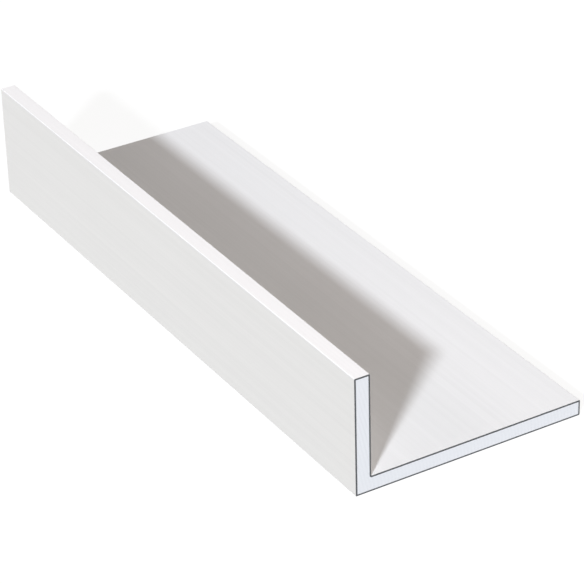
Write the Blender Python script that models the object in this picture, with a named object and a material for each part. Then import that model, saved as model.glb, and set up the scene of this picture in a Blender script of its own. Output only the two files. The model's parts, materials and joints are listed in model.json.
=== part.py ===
# An angle profile: one extruded strip of rigid white PVC with an unequal L section,
# sawn square at both ends. It lies on its wide leg, with the narrow leg standing at -X.
# Metres: X across the wide leg, Y along the strip, Z up. The origin is on the underside,
# at the middle of the width and of the length.

import bmesh
import bpy
from math import radians

WIDTH = 0.030  # outside size of the wide leg, the flange that lies flat
HEIGHT = 0.015  # outside size of the narrow leg, the upright, from the underside
WALL = 0.002  # the same thickness in both legs
LENGTH = 0.085  # between the two sawn ends

ARRIS_RADIUS = 0.0001  # the fine round that the die leaves on the five outer corners
ROOT_RADIUS = 0.0001  # the fillet where the legs meet on the inside
ARC_SEGMENTS = 4  # straight steps in each quarter round

PVC_COLOR = (0.845, 0.845, 0.852, 1.0)  # linear, a slightly cool white
PVC_ROUGHNESS = 0.38  # the satin skin that the die leaves


def clear_scene():
    for item in list(bpy.data.objects):
        bpy.data.objects.remove(item, do_unlink=True)


def make_material(name, color, roughness):
    material = bpy.data.materials.new(name)
    material.use_nodes = True
    shader = material.node_tree.nodes["Principled BSDF"]
    shader.inputs["Base Color"].default_value = color
    shader.inputs["Roughness"].default_value = roughness
    shader.inputs["Metallic"].default_value = 0.0
    shader.inputs["IOR"].default_value = 1.53
    material.diffuse_color = color
    material.roughness = roughness
    return material


def round_corners(bm, corners, radius):
    # the section is still flat here, so a vertex bevel gives a true quarter round
    bmesh.ops.bevel(
        bm,
        geom=corners,
        offset=radius,
        segments=ARC_SEGMENTS,
        profile=0.5,
        affect="VERTICES",
    )


def make_section(bm):
    # the L outline at the -Y end, from the heel round to the top of the upright
    heel_x = -WIDTH / 2
    toe_x = WIDTH / 2
    inner_x = heel_x + WALL
    outline = [
        (heel_x, 0.0),
        (toe_x, 0.0),
        (toe_x, WALL),
        (inner_x, WALL),
        (inner_x, HEIGHT),
        (heel_x, HEIGHT),
    ]
    corners = [bm.verts.new((x, -LENGTH / 2, z)) for x, z in outline]
    bm.faces.new(corners)
    root = corners.pop(3)
    # a round takes less than half the wall, so that a thin toe keeps its flat edge
    round_corners(bm, corners, min(ARRIS_RADIUS, 0.4 * WALL))
    round_corners(bm, [root], ROOT_RADIUS)


def make_angle_profile(material):
    bm = bmesh.new()
    make_section(bm)
    section = list(bm.faces)
    swept = bmesh.ops.extrude_face_region(bm, geom=section)["geom"]
    far_corners = [item for item in swept if isinstance(item, bmesh.types.BMVert)]
    bmesh.ops.translate(bm, verts=far_corners, vec=(0.0, LENGTH, 0.0))
    bmesh.ops.recalc_face_normals(bm, faces=bm.faces)

    mesh = bpy.data.meshes.new("angle_profile")
    bm.to_mesh(mesh)
    bm.free()
    mesh.materials.append(material)
    # the rounds shade smooth, and the sawn ends keep their sharp edges
    mesh.shade_smooth()
    mesh.set_sharp_from_angle(angle=radians(40))

    profile = bpy.data.objects.new("angle_profile", mesh)
    bpy.context.scene.collection.objects.link(profile)
    flat_shading = profile.modifiers.new("flat_legs", "WEIGHTED_NORMAL")
    flat_shading.keep_sharp = True
    return profile


def main():
    clear_scene()
    pvc = make_material("white_pvc", PVC_COLOR, PVC_ROUGHNESS)
    make_angle_profile(pvc)


main()
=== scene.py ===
import json
from math import cos, pi, radians, sin, tan

import bmesh
import bpy
from mathutils import Matrix, Vector


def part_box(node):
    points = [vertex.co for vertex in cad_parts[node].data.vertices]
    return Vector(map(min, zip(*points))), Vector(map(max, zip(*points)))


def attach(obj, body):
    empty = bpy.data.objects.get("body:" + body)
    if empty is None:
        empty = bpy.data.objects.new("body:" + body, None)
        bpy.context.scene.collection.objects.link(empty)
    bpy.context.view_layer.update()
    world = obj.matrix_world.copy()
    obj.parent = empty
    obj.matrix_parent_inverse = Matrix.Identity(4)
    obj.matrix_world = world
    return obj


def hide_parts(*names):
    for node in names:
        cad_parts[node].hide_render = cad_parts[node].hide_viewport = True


# A short cut length of white PVC-U angle, lying on its wide leg with the narrow leg up.
# Lengths are in metres unless a name says otherwise.

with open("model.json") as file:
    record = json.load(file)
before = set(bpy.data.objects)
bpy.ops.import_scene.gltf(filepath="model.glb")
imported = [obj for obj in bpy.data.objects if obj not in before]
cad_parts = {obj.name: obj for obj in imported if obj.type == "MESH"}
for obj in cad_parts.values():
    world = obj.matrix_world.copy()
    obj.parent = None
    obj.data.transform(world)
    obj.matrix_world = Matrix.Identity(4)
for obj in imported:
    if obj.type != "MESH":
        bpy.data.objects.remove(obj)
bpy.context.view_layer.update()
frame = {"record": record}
mm = 0.001


def hexColor(code):
    # sRGB hex to the linear colour that the shaders work in
    channels = [int(code[i:i + 2], 16) / 255 for i in (1, 3, 5)]
    linear = [c / 12.92 if c <= 0.04045 else ((c + 0.055) / 1.055) ** 2.4 for c in channels]
    return (*linear, 1.0)


def addNode(tree, kind, settings=None, inputs=None, links=None):
    # one node with its properties, its socket values and the sockets that feed it
    node = tree.nodes.new(kind)
    for name, value in (settings or {}).items():
        setattr(node, name, value)
    for name, value in (inputs or {}).items():
        node.inputs[name].default_value = value
    for name, source in (links or {}).items():
        tree.links.new(source, node.inputs[name])
    return node


def newMaterial(name):
    material = bpy.data.materials.new(name)
    material.use_nodes = True
    material.node_tree.nodes.clear()
    return material, material.node_tree


# the extruded skin
skin = {
    "color": "#eeeef0",  # white PVC-U, slightly cool
    "landColor": "#fcfafb",  # the leg's free edge, painted a shade brighter: painted light
    "showColor": "#dedbd7",  # the outer face, painted a shade darker and warmer: painted shade
    "edgeBand": 0.04 * mm,  # over which one face's tone turns into the next one's
    "streakSpread": 0.03,  # how far a streak leaves the colour, either way
    "noiseLow": 0.25,  # nearly all of the noise lies between these two
    "noiseHigh": 0.75,
    "roughness": 0.42,  # satin
    "roughnessSpread": 0.08,
    "ior": 1.53,  # rigid PVC
    "dieLinePitch": 0.45 * mm,  # drawn coarser than the real 0.1 mm, which is too fine to show
    "dieLineLength": 90 * mm,
    "dieLineDepth": 0.008 * mm,
    "scorePitch": 2.2 * mm,  # a nick in the die leaves a deeper line here and there
    "scoreLength": 270 * mm,
    "scoreFrom": 0.60,  # the noise above which a line is scored
    "scoreFull": 0.72,  # and above which it is at its deepest
    "scoreShare": 0.3,  # of the fine lines' depth and shade
    "peelSize": 0.7 * mm,  # the faint orange peel of a skin cooled in water
    "peelDepth": 0.002 * mm,
    "pulseLength": 14 * mm,  # the haul-off's pulse, which shows only in the gloss
}


def extrudedPvc(topOfLeg, showFace):
    # Rigid PVC-U, extruded and drawn through a cooled die: an even white satin skin with
    # faint straight lines along the strip. The leg's free edge is painted brighter, as painted
    # light, and the outer face darker and warmer, as painted shade; neither has a cause in the
    # material.
    material, tree = newMaterial("extruded_white_pvc")
    place = addNode(tree, "ShaderNodeTexCoord")

    # noise drawn out along the strip: its pitch across, its length along, detail, roughness
    noise = {}
    for name, pitch, length, detail, roughness in (
        ("dieLines", skin["dieLinePitch"], skin["dieLineLength"], 3.0, 0.55),
        ("scores", skin["scorePitch"], skin["scoreLength"], 4.0, 0.7),
        ("peel", skin["peelSize"], skin["peelSize"], 2.0, 0.5),
        ("pulse", 2 * skin["pulseLength"], skin["pulseLength"], 1.0, 0.5),
    ):
        spread = addNode(
            tree, "ShaderNodeMapping", {"vector_type": "POINT"},
            {"Scale": (1 / pitch, 1 / length, 1 / pitch)}, {"Vector": place.outputs["Object"]},
        )
        cloud = addNode(
            tree, "ShaderNodeTexNoise", {},
            {"Scale": 1.0, "Detail": detail, "Roughness": roughness},
            {"Vector": spread.outputs["Vector"]},
        )
        noise[name] = cloud.outputs["Fac"]
    scored = addNode(
        tree, "ShaderNodeMapRange", {"interpolation_type": "SMOOTHSTEP"},
        {"From Min": skin["scoreFrom"], "From Max": skin["scoreFull"]},
        {"Value": noise["scores"]},
    )

    # each face's tone, with painted light on the leg's top edge and painted shade on the outer
    # face
    axes = addNode(tree, "ShaderNodeSeparateXYZ", links={"Vector": place.outputs["Object"]})
    # painted light: the narrow leg's top edge is painted brighter than the faces below it
    land = addNode(
        tree, "ShaderNodeMapRange", {"interpolation_type": "SMOOTHSTEP"},
        {"From Min": topOfLeg - skin["edgeBand"], "From Max": topOfLeg},
        {"Value": axes.outputs["Z"]},
    )
    # painted shade: the outer face is painted darker and warmer than the rest of the skin
    shown = addNode(
        tree, "ShaderNodeMapRange", {"interpolation_type": "SMOOTHSTEP"},
        {"From Min": showFace + skin["edgeBand"], "From Max": showFace},
        {"Value": axes.outputs["X"]},
    )
    paintedShadeTone = addNode(
        tree, "ShaderNodeMix", {"data_type": "RGBA"},
        {"A": hexColor(skin["color"]), "B": hexColor(skin["showColor"])},
        {"Factor": shown.outputs["Result"]},
    )
    tone = addNode(
        tree, "ShaderNodeMix", {"data_type": "RGBA"}, {"B": hexColor(skin["landColor"])},
        {"Factor": land.outputs["Result"], "A": paintedShadeTone.outputs["Result"]},
    )

    # the lines vary the tone a little either way, following their height: painted shade in
    # their grooves, and more in a scored line
    furrows = addNode(
        tree, "ShaderNodeMath", {"operation": "MULTIPLY_ADD"}, {1: -skin["scoreShare"]},
        {0: scored.outputs["Result"], 2: noise["dieLines"]},
    )
    streaks = addNode(
        tree, "ShaderNodeMapRange", {},
        {"From Min": skin["noiseLow"], "From Max": skin["noiseHigh"],
         "To Min": 1 - skin["streakSpread"], "To Max": 1 + skin["streakSpread"]},
        {"Value": furrows.outputs["Value"]},
    )
    toneWithPaintedLight = addNode(
        tree, "ShaderNodeMix", {"data_type": "RGBA", "blend_type": "MULTIPLY"},
        {"Factor": 1.0}, {"A": tone.outputs["Result"], "B": streaks.outputs["Result"]},
    )

    # satin that varies with the lines and the haul-off's pulse
    wander = addNode(
        tree, "ShaderNodeMath", {"operation": "ADD"}, {},
        {0: noise["dieLines"], 1: noise["pulse"]},
    )
    gloss = addNode(
        tree, "ShaderNodeMapRange", {},
        {"From Min": 2 * skin["noiseLow"], "From Max": 2 * skin["noiseHigh"],
         "To Min": skin["roughness"] - skin["roughnessSpread"],
         "To Max": skin["roughness"] + skin["roughnessSpread"]},
        {"Value": wander.outputs["Value"]},
    )
    peeled = addNode(
        tree, "ShaderNodeBump", {}, {"Strength": 1.0, "Distance": skin["peelDepth"]},
        {"Height": noise["peel"]},
    )
    relief = addNode(
        tree, "ShaderNodeBump", {}, {"Strength": 1.0, "Distance": skin["dieLineDepth"]},
        {"Height": furrows.outputs["Value"], "Normal": peeled.outputs["Normal"]},
    )
    surface = addNode(
        tree, "ShaderNodeBsdfPrincipled", {}, {"IOR": skin["ior"]},
        {"Base Color": toneWithPaintedLight.outputs["Result"], "Roughness": gloss.outputs["Result"],
         "Normal": relief.outputs["Normal"]},
    )
    addNode(tree, "ShaderNodeOutputMaterial", links={"Surface": surface.outputs["BSDF"]})
    return material


# the sawn ends
sawnEnd = {
    "color": "#e4e6eb",  # fresh PVC-U, cooler and more matt than the skin
    "markColor": "#e2e4e9",
    "roughness": 0.62,
    "ior": 1.53,
    "markPitch": 0.45 * mm,  # feed for each tooth of a fine saw
    "markDepth": 0.006 * mm,
    "markWaver": 1.2,  # how far a mark strays from its arc, and how finely
    "waverDetail": 2.0,
    "waverScale": 0.6,
    "grainSize": 0.22 * mm,  # the torn crumbs between the marks
    "grainDetail": 4.0,
    "bladeRadius": 125 * mm,  # the blade's centre is that far left of the strip's middle
    "bladeDrop": 20 * mm,  # and that far below the underside
    "rimColor": "#5a5c5f",  # grey dust that the sharp edge of the cut holds
    "rimDarkColor": "#4a4c4f",
    "rimRoughness": 0.7,
    "dustSize": 0.5 * mm,
    "dustDetail": 2.0,
    "rimWidth": 0.19 * mm,
    "chamfer": 0.02 * mm,
}


def sawnPvc():
    # PVC-U across a fine-toothed saw cut: matt, slightly cool, with shallow curved tooth marks
    material, tree = newMaterial("sawn_white_pvc")
    place = addNode(tree, "ShaderNodeTexCoord")
    bladeCentre = addNode(
        tree, "ShaderNodeMapping", {"vector_type": "POINT"},
        {"Location": (sawnEnd["bladeRadius"], 0.0, sawnEnd["bladeDrop"]),
         "Scale": (1.0, 0.0, 1.0)},
        {"Vector": place.outputs["Object"]},
    )
    marks = addNode(
        tree, "ShaderNodeTexWave",
        {"wave_type": "RINGS", "rings_direction": "Y", "wave_profile": "SIN"},
        {"Scale": pi / 10 / sawnEnd["markPitch"],  # its rings are pi / 10 apart at scale 1
         "Distortion": sawnEnd["markWaver"],
         "Detail": sawnEnd["waverDetail"], "Detail Scale": sawnEnd["waverScale"]},
        {"Vector": bladeCentre.outputs["Vector"]},
    )
    grain = addNode(
        tree, "ShaderNodeTexNoise", {},
        {"Scale": 1 / sawnEnd["grainSize"], "Detail": sawnEnd["grainDetail"]},
        {"Vector": place.outputs["Object"]},
    )
    tone = addNode(
        tree, "ShaderNodeMix", {"data_type": "RGBA"},
        {"A": hexColor(sawnEnd["markColor"]), "B": hexColor(sawnEnd["color"])},
        {"Factor": marks.outputs["Fac"]},
    )
    height = addNode(
        tree, "ShaderNodeMath", {"operation": "ADD"}, {},
        {0: marks.outputs["Fac"], 1: grain.outputs["Fac"]},
    )
    relief = addNode(
        tree, "ShaderNodeBump", {}, {"Strength": 1.0, "Distance": sawnEnd["markDepth"]},
        {"Height": height.outputs["Value"]},
    )
    surface = addNode(
        tree, "ShaderNodeBsdfPrincipled", {},
        {"IOR": sawnEnd["ior"], "Roughness": sawnEnd["roughness"]},
        {"Base Color": tone.outputs["Result"], "Normal": relief.outputs["Normal"]},
    )
    addNode(tree, "ShaderNodeOutputMaterial", links={"Surface": surface.outputs["BSDF"]})
    return material


def sawnRim():
    # the sharp edge of the cut, where the saw leaves a hairline of grey dust
    material, tree = newMaterial("dusty_sawn_edge")
    place = addNode(tree, "ShaderNodeTexCoord")
    specks = addNode(
        tree, "ShaderNodeTexNoise", {},
        {"Scale": 1 / sawnEnd["dustSize"], "Detail": sawnEnd["dustDetail"]},
        {"Vector": place.outputs["Object"]},
    )
    tone = addNode(
        tree, "ShaderNodeMix", {"data_type": "RGBA"},
        {"A": hexColor(sawnEnd["rimDarkColor"]), "B": hexColor(sawnEnd["rimColor"])},
        {"Factor": specks.outputs["Fac"]},
    )
    surface = addNode(
        tree, "ShaderNodeBsdfPrincipled", {},
        {"IOR": sawnEnd["ior"], "Roughness": sawnEnd["rimRoughness"]},
        {"Base Color": tone.outputs["Result"]},
    )
    addNode(tree, "ShaderNodeOutputMaterial", links={"Surface": surface.outputs["BSDF"]})
    return material


# the strip
strip = {
    "arrisRadius": 0.1 * mm,
    "rootRadius": 0.1 * mm,
    "leastRadius": 0.02 * mm,  # what is left of an arris inside the rim
    "arcSteps": 8,
    "sharpAngle": 30.0,  # degrees, above which two faces meet in a sharp edge
}


def outline(low, high, flangeTop, uprightInner, inset):
    # The L section, shrunk by inset on every side. Each corner is an arc: its centre, its
    # radius, and its first and last angle.
    out = max(strip["arrisRadius"] - inset, strip["leastRadius"])
    root = strip["rootRadius"] + inset
    left, right, bottom, top = low.x + inset, high.x - inset, low.z + inset, high.z - inset
    inner, floorOfL = uprightInner - inset, flangeTop - inset
    corners = [
        (left + out, bottom + out, out, pi, 1.5 * pi),
        (right - out, bottom + out, out, 1.5 * pi, 2 * pi),
        (right - out, floorOfL - out, out, 0.0, 0.5 * pi),
        (inner + root, floorOfL + root, root, 1.5 * pi, pi),
        (inner - out, top - out, out, 0.0, 0.5 * pi),
        (left + out, top - out, out, 0.5 * pi, pi),
    ]
    points = []
    for x, z, radius, first, last in corners:
        for step in range(strip["arcSteps"] + 1):
            angle = first + (last - first) * step / strip["arcSteps"]
            points.append((x + radius * cos(angle), z + radius * sin(angle)))
    return points


def makeStrip():
    # the section swept from end to end, each end with a hairline chamfer and rim
    low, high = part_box("angle_profile")
    places = {mount["name"]: mount["pos_m"] for mount in frame["record"]["mounts"]}
    flangeTop = places["flange_inner_face"][2]
    uprightInner = places["upright_inner_face"][0]
    chamfer, rim = sawnEnd["chamfer"], sawnEnd["rimWidth"]
    rings = [
        (low.y, chamfer + rim),
        (low.y, chamfer),
        (low.y + chamfer, 0.0),
        (high.y - chamfer, 0.0),
        (high.y, chamfer),
        (high.y, chamfer + rim),
    ]
    skinSlot, sawnSlot, rimSlot = range(3)
    bandSlots = [rimSlot, rimSlot, skinSlot, rimSlot, rimSlot]

    bm = bmesh.new()
    loops = []
    for y, inset in rings:
        section = outline(low, high, flangeTop, uprightInner, inset)
        loops.append([bm.verts.new((x, y, z)) for x, z in section])
    for near, far, slot in zip(loops, loops[1:], bandSlots):
        for i in range(len(near)):
            j = (i + 1) % len(near)
            face = bm.faces.new((near[i], near[j], far[j], far[i]))
            face.material_index = slot
            face.smooth = slot == skinSlot
    for cap in (loops[0], loops[-1][::-1]):
        bm.faces.new(cap).material_index = sawnSlot
    bmesh.ops.recalc_face_normals(bm, faces=bm.faces)
    bmesh.ops.triangulate(bm, faces=[f for f in bm.faces if len(f.verts) > 4])

    mesh = bpy.data.meshes.new("pvc_angle")
    bm.to_mesh(mesh)
    bm.free()
    mesh.set_sharp_from_angle(angle=radians(strip["sharpAngle"]))
    piece = bpy.data.objects.new("pvc_angle", mesh)
    bpy.context.scene.collection.objects.link(piece)
    for material in (extrudedPvc(high.z, low.x), sawnPvc(), sawnRim()):
        mesh.materials.append(material)
    flatLegs = piece.modifiers.new("flat_legs", "WEIGHTED_NORMAL")
    flatLegs.keep_sharp = True

    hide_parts("angle_profile")
    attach(piece, "root")


# floor and light; the tints of the lamps and the sky are linear
studio = {
    "white": "#ffffff",  # the floor and the backdrop, as the camera sees them
    "floorSize": 6.0,
    "floorDrop": 0.02 * mm,  # keeps the floor off the underside
    "floorShadow": 0.17,  # how much of the object's shadow the white floor shows
    "floorWhite": 1.07,  # brings the unshaded floor back to white beside that share
    "floorBounce": "#6e6c6a",  # what the floor sends back on to the object
    "keyFrom": (-20.35, -17.8, 13.0),  # 13 mm of leg throws 20.35 mm of shade on the flange
    "keyDistance": 12.0,
    "keyAngles": (6.5, 2.6),  # how wide and how high the lamp looks from the strip, in degrees
    "keyLight": 4.174,  # W/m2 square on to the lamp, at the strip
    "keyColor": (0.907, 0.953, 1.0),
    "sideFrom": (-0.79, 0.0, 0.62),  # comes over the leg, and fades out towards the root
    "sideDistance": 1.5,
    "sideSize": 0.40,
    "sidePower": 2.17,  # W
    "sideColor": (1.0, 0.912, 0.922),
    "skyStrength": 0.128,
    "skyColor": (1.0, 0.951, 0.904),
    "fillFrom": (0.38, -0.60, 0.70),  # close in front, so that the shade is lighter there
    "fillDistance": 0.40,
    "fillSize": 0.28,
    "fillPower": 0.529,  # W
    "fillColor": (1.0, 0.900, 0.798),
    "backFrom": (0.2, 1.0, 0.04),  # low behind, so that the far end isn't left in the dark
    "backDistance": 0.6,
    "backAngle": 8.0,  # how wide it looks, in degrees
    "backLight": 2.0,  # W/m2 square on to it
}


def shownRays(tree):
    # 1 for the rays that see the studio itself: the camera's, and those in gloss and glass
    path = addNode(tree, "ShaderNodeLightPath")
    either = addNode(
        tree, "ShaderNodeMath", {"operation": "MAXIMUM"}, {},
        {0: path.outputs["Is Camera Ray"], 1: path.outputs["Is Glossy Ray"]},
    )
    anyOf = addNode(
        tree, "ShaderNodeMath", {"operation": "MAXIMUM"}, {},
        {0: either.outputs["Value"], 1: path.outputs["Is Transmission Ray"]},
    )
    return anyOf.outputs["Value"]


def makeFloor():
    bm = bmesh.new()
    bmesh.ops.create_grid(bm, x_segments=1, y_segments=1, size=studio["floorSize"] / 2)
    mesh = bpy.data.meshes.new("studio_floor")
    bm.to_mesh(mesh)
    bm.free()
    floor = bpy.data.objects.new("studio_floor", mesh)
    floor.location.z = -studio["floorDrop"]
    bpy.context.scene.collection.objects.link(floor)

    # the camera and the reflections see a white floor with a faint shadow on it
    material, tree = newMaterial("matt_white_floor")
    white = addNode(
        tree, "ShaderNodeEmission", {},
        {"Color": hexColor(studio["white"]), "Strength": studio["floorWhite"]},
    )
    shaded = addNode(tree, "ShaderNodeBsdfDiffuse", {}, {"Color": hexColor(studio["white"])})
    seen = addNode(
        tree, "ShaderNodeMixShader", {}, {"Fac": studio["floorShadow"]},
        {1: white.outputs["Emission"], 2: shaded.outputs["BSDF"]},
    )
    bounce = addNode(
        tree, "ShaderNodeBsdfDiffuse", {}, {"Color": hexColor(studio["floorBounce"])},
    )
    either = addNode(
        tree, "ShaderNodeMixShader", {}, {},
        {0: shownRays(tree), 1: bounce.outputs["BSDF"], 2: seen.outputs["Shader"]},
    )
    addNode(tree, "ShaderNodeOutputMaterial", links={"Surface": either.outputs["Shader"]})
    mesh.materials.append(material)


def makeWorld():
    world = bpy.data.worlds.new("pale_studio")
    world.use_nodes = True
    tree = world.node_tree
    tree.nodes.clear()
    white = addNode(
        tree, "ShaderNodeBackground", {}, {"Color": hexColor(studio["white"]), "Strength": 1.0},
    )
    sky = addNode(
        tree, "ShaderNodeBackground", {},
        {"Color": (*studio["skyColor"], 1.0), "Strength": studio["skyStrength"]},
    )
    either = addNode(
        tree, "ShaderNodeMixShader", {}, {},
        {0: shownRays(tree), 1: sky.outputs["Background"], 2: white.outputs["Background"]},
    )
    addNode(tree, "ShaderNodeOutputWorld", links={"Surface": either.outputs["Shader"]})
    bpy.context.scene.world = world


def addLamp(name, kind, comesFrom, distance, settings):
    # a lamp on that side of the strip, turned towards its middle
    light = bpy.data.lights.new(name, kind)
    for key, value in settings.items():
        setattr(light, key, value)
    lamp = bpy.data.objects.new(name, light)
    lamp.location = Vector(comesFrom).normalized() * distance
    lamp.rotation_mode = "QUATERNION"
    lamp.rotation_quaternion = (-lamp.location).to_track_quat("-Z", "Y")
    bpy.context.scene.collection.objects.link(lamp)
    return lamp


def makeLights():
    reach = studio["keyDistance"]
    wide, high = (2 * reach * tan(radians(angle) / 2) for angle in studio["keyAngles"])
    key = addLamp("key_light", "AREA", studio["keyFrom"], reach, {
        "shape": "ELLIPSE", "size": wide, "size_y": high,
        "energy": studio["keyLight"] * pi * reach ** 2, "color": studio["keyColor"],
    })
    side = addLamp("side_softbox", "AREA", studio["sideFrom"], studio["sideDistance"], {
        "shape": "DISK", "size": studio["sideSize"],
        "energy": studio["sidePower"], "color": studio["sideColor"],
    })
    addLamp("fill_softbox", "AREA", studio["fillFrom"], studio["fillDistance"], {
        "shape": "SQUARE", "size": studio["fillSize"],
        "energy": studio["fillPower"], "color": studio["fillColor"],
    })
    back = addLamp("back_light", "SUN", studio["backFrom"], studio["backDistance"], {
        "angle": radians(studio["backAngle"]), "energy": studio["backLight"],
    })
    for lamp in (key, side, back):
        lamp.visible_glossy = False  # seen against them, the legs would burn out in their glare


# camera
view = {
    "eye": (-147.86 * mm, -256.35 * mm, 171.23 * mm),
    "target": (-3.0 * mm, -9.58 * mm, 6.0 * mm),
    "roll": -1.62,  # degrees
    "lensMm": 172.28,
    "sensorMm": 36.0,
    "nearest": 0.01,
    "farthest": 20.0,
}


def makeCamera():
    camera = bpy.data.cameras.new("view_camera")
    camera.sensor_width = view["sensorMm"]
    camera.lens = view["lensMm"]
    camera.clip_start = view["nearest"]
    camera.clip_end = view["farthest"]
    eye, target = Vector(view["eye"]), Vector(view["target"])
    stand = bpy.data.objects.new("view_camera", camera)
    facing = (target - eye).to_track_quat("-Z", "Y").to_matrix().to_4x4()
    roll = Matrix.Rotation(radians(view["roll"]), 4, "Z")
    stand.matrix_world = Matrix.Translation(eye) @ facing @ roll
    bpy.context.scene.collection.objects.link(stand)
    bpy.context.scene.camera = stand


print("strip")
makeStrip()
print("floor and light")
makeFloor()
makeWorld()
makeLights()
print("camera")
makeCamera()
bpy.context.scene.view_settings.view_transform = "Standard"
